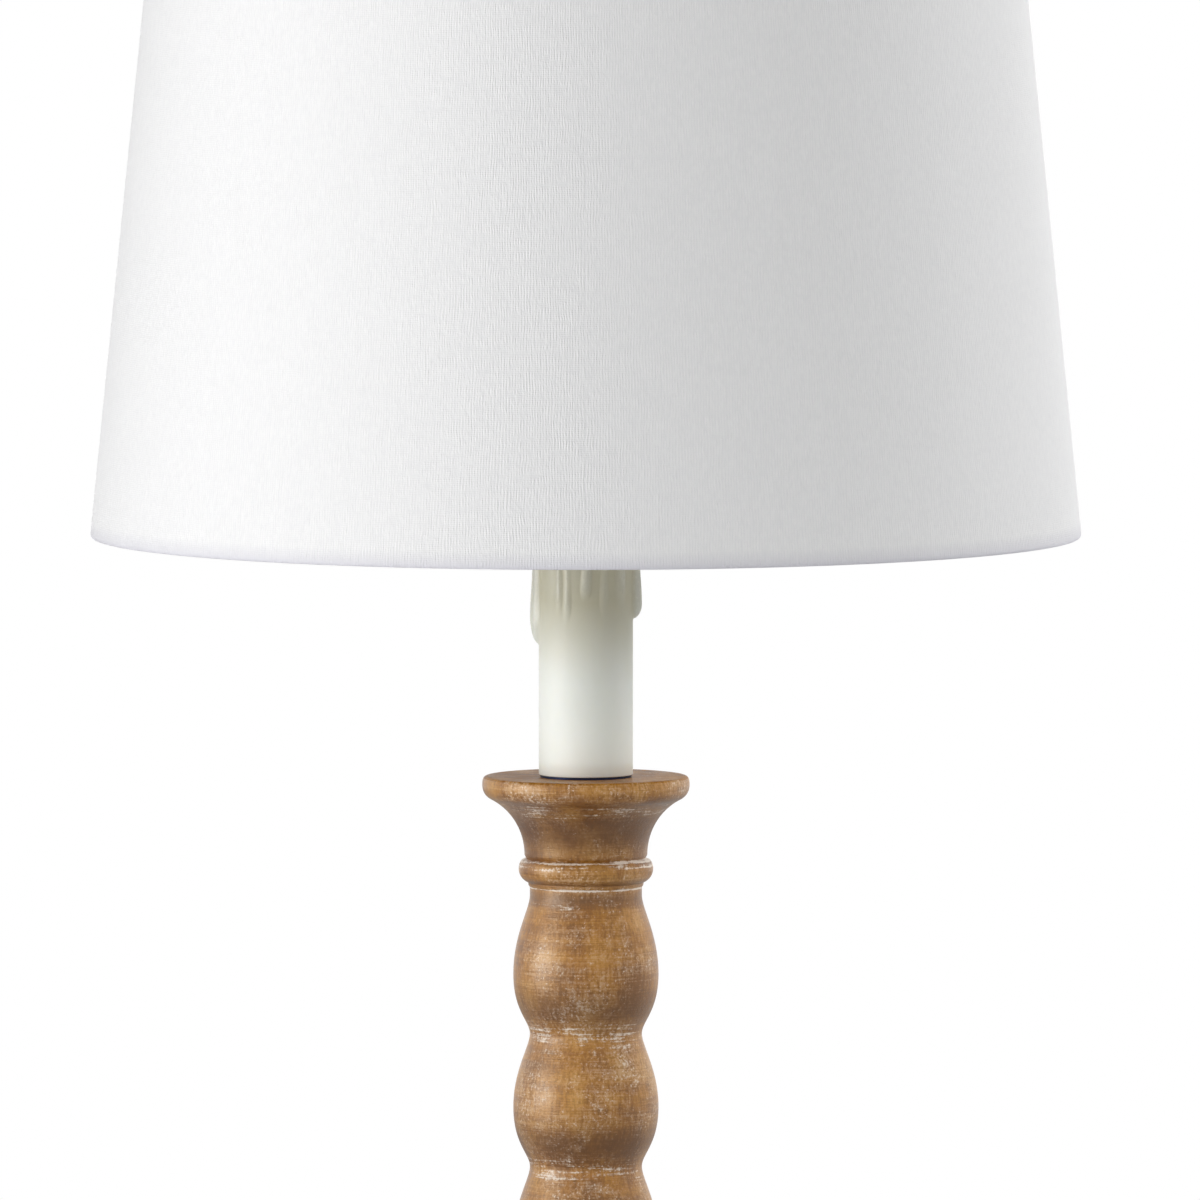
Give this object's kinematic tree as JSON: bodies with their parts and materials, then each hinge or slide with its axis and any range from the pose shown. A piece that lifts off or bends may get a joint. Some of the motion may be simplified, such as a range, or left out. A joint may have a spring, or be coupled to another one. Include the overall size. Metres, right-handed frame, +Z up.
{
  "type": "buffet lamp",
  "caption": "Tall slim table lamp: turned bobbin column, candle cup, drip candle sleeve, harp and tapered drum shade.",
  "frame": {"origin": "on the floor under the middle of the lamp, at the underside of its felt pad", "axes": "+Z up along the column and the harp's stud, -Y towards the front, with the cord inlet at the back"},
  "size_m": [0.3303, 0.3302, 0.8076],
  "materials": {
    "felt": "matte felt",
    "wood": "satin honey brown, whitewash left in the grooves",
    "iron": "rough cast",
    "steel": "zinc plated",
    "dark_washer": "dark blue-black",
    "brass": "satin",
    "sleeve": "satin ivory wax",
    "paper": "matte fibre",
    "phenolic": "moulded",
    "bulb_white": "frosted white",
    "nickel": "nickel plated",
    "liner": "smooth white styrene",
    "cloth": "white woven cloth",
    "hem": "white woven cloth, turned over"
  },
  "bodies": {
    "lamp": {"felt_pad": "felt", "foot": "wood", "base_weight": "iron", "base_washer": "steel", "base_nut": "steel", "cord_bushing": "brass", "column": "wood", "candle_cup": "wood", "seat_ring": "dark_washer", "cup_nut": "steel", "lamp_pipe": "steel", "candle_sleeve": "sleeve", "sleeve_cap": "brass", "harp_saddle": "brass", "harp": "brass", "harp_stud": "brass", "socket_cap": "brass", "socket_set_screw": "steel", "socket_shell": "brass", "socket_liner": "paper", "socket_body": "phenolic", "screw_shell": "brass", "centre_contact": "brass", "terminal_screws": "steel"},
    "switch": {"switch_knob": "phenolic"},
    "bulb": {"bulb_glass": "bulb_white", "bulb_base": "nickel", "bulb_insulator": "phenolic", "bulb_contact": "nickel"},
    "ferrule_left": {"harp_ferrule_left": "brass"},
    "ferrule_right": {"harp_ferrule_right": "brass"},
    "shade": {"shade_spider": "steel", "shade_top_ring": "steel", "shade_bottom_ring": "steel", "shade_liner": "liner", "shade_fabric": "cloth", "shade_top_hem": "hem", "shade_bottom_hem": "hem"},
    "finial": {"finial_base": "brass", "finial_knob": "wood"}
  },
  "joints": [
    {"name": "switch_turn", "type": "hinge", "parent": "lamp", "child": "switch", "pos_m": [0, -0.0165, 0.5964], "axis": [0, -1, 0], "continuous": true},
    {"name": "bulb_unscrew", "type": "slide", "parent": "lamp", "child": "bulb", "axis": [0, 0, 1], "range_m": [0, 0.03]},
    {"name": "ferrule_left_lift", "type": "slide", "parent": "lamp", "child": "ferrule_left", "axis": [0, 0, 1], "range_m": [0, 0.012]},
    {"name": "ferrule_right_lift", "type": "slide", "parent": "lamp", "child": "ferrule_right", "axis": [0, 0, 1], "range_m": [0, 0.012]},
    {"name": "shade_turn", "type": "hinge", "parent": "lamp", "child": "shade", "pos_m": [0, 0, 0.772], "axis": [0, 0, 1], "continuous": true},
    {"name": "finial_unscrew", "type": "slide", "parent": "lamp", "child": "finial", "axis": [0, 0, 1], "range_m": [0, 0.014]}
  ]
}
